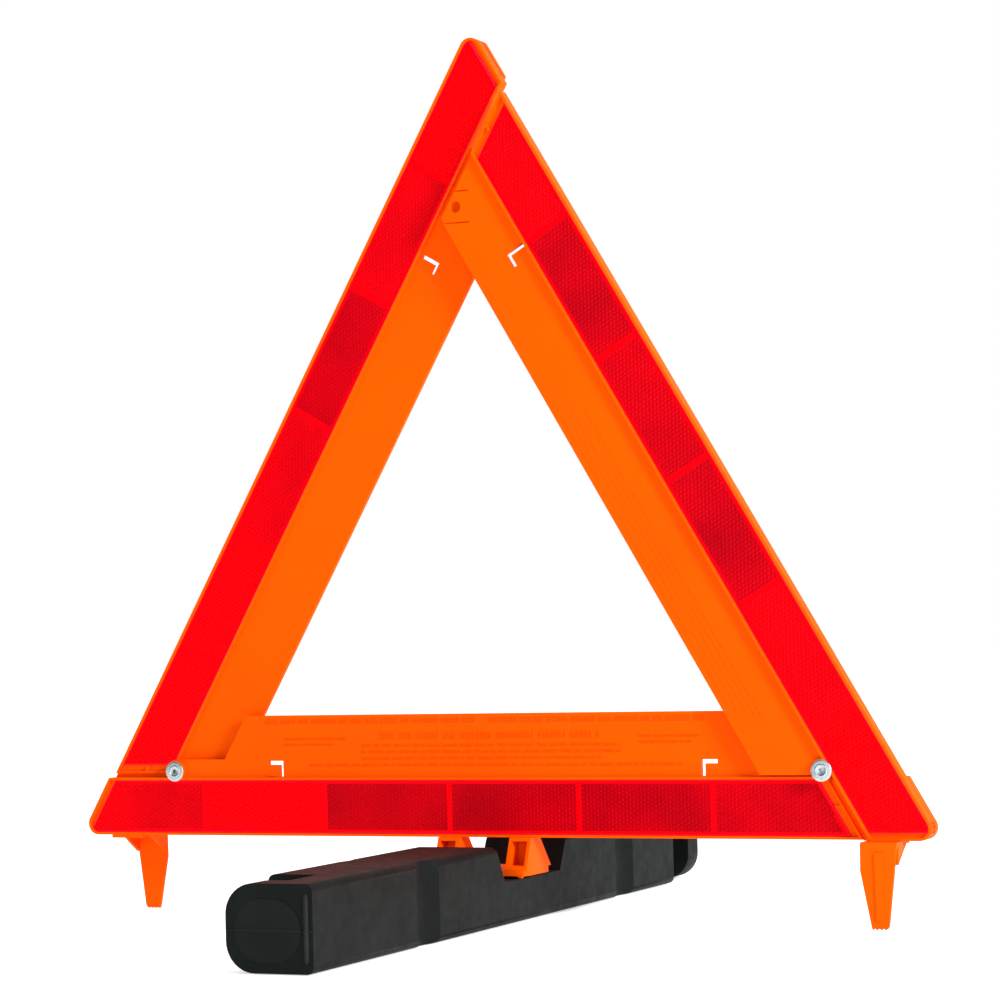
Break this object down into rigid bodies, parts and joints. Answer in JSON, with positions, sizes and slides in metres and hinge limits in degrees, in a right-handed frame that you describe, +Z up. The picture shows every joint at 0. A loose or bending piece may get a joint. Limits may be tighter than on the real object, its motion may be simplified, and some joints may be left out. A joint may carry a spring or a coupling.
{
  "type": "folding warning triangle",
  "caption": "Folding roadside warning triangle with red reflector arms, a springy latch, small legs and a weighted base that swivels in line for storage.",
  "frame": {"origin": "on the base's swivel axis at the ground, under the middle of the bottom arm", "axes": "+X along the bottom arm to the viewer's right, -Y towards the viewer, +Z up"},
  "size_m": [0.437, 0.4446, 0.4185],
  "materials": {
    "orange_arm": "satin moulded fluorescent orange",
    "red_reflector": "glossy prismatic",
    "rivet_steel": "zinc plated",
    "base_black": "fine grained, blow moulded",
    "sand": "loose dry sand"
  },
  "bodies": {
    "stand": {"bottom_arm": "orange_arm", "bottom_lens_front": "red_reflector", "bottom_lens_rear": "red_reflector", "rivets": "rivet_steel", "pivot_washers": "rivet_steel", "right_leg": "orange_arm", "left_leg": "orange_arm", "swivel_yoke": "orange_arm", "swivel_screw": "rivet_steel", "swivel_washer": "rivet_steel"},
    "left_side": {"left_arm": "orange_arm", "left_lens_front": "red_reflector", "left_lens_rear": "red_reflector"},
    "right_side": {"right_arm": "orange_arm", "right_lens_front": "red_reflector", "right_lens_rear": "red_reflector"},
    "latch": {"latch_tongue": "orange_arm"},
    "weighted_base": {"base_shell": "base_black", "sand_fill": "sand", "fill_plug": "base_black", "end_plate_near": "base_black", "end_plate_far": "base_black"}
  },
  "joints": [
    {"name": "left_arm_fold", "type": "hinge", "parent": "stand", "child": "left_side", "pos_m": [-0.16829, 0.0018, 0.0699], "axis": [0, 1, 0], "range_deg": [0, 60]},
    {"name": "right_arm_fold", "type": "hinge", "parent": "stand", "child": "right_side", "pos_m": [0.16829, -0.0078, 0.0699], "axis": [0, -1, 0], "range_deg": [0, 60]},
    {"name": "latch_flex", "type": "hinge", "parent": "right_side", "child": "latch", "pos_m": [0.0005, -0.0078, 0.33706], "axis": [0, 0, 1], "range_deg": [0, 10], "stiffness_Nm_per_rad": 0.05},
    {"name": "base_swivel", "type": "hinge", "parent": "stand", "child": "weighted_base", "pos_m": [0, 0, 0.005], "axis": [0, 0, 1], "range_deg": [-90, 0]}
  ]
}
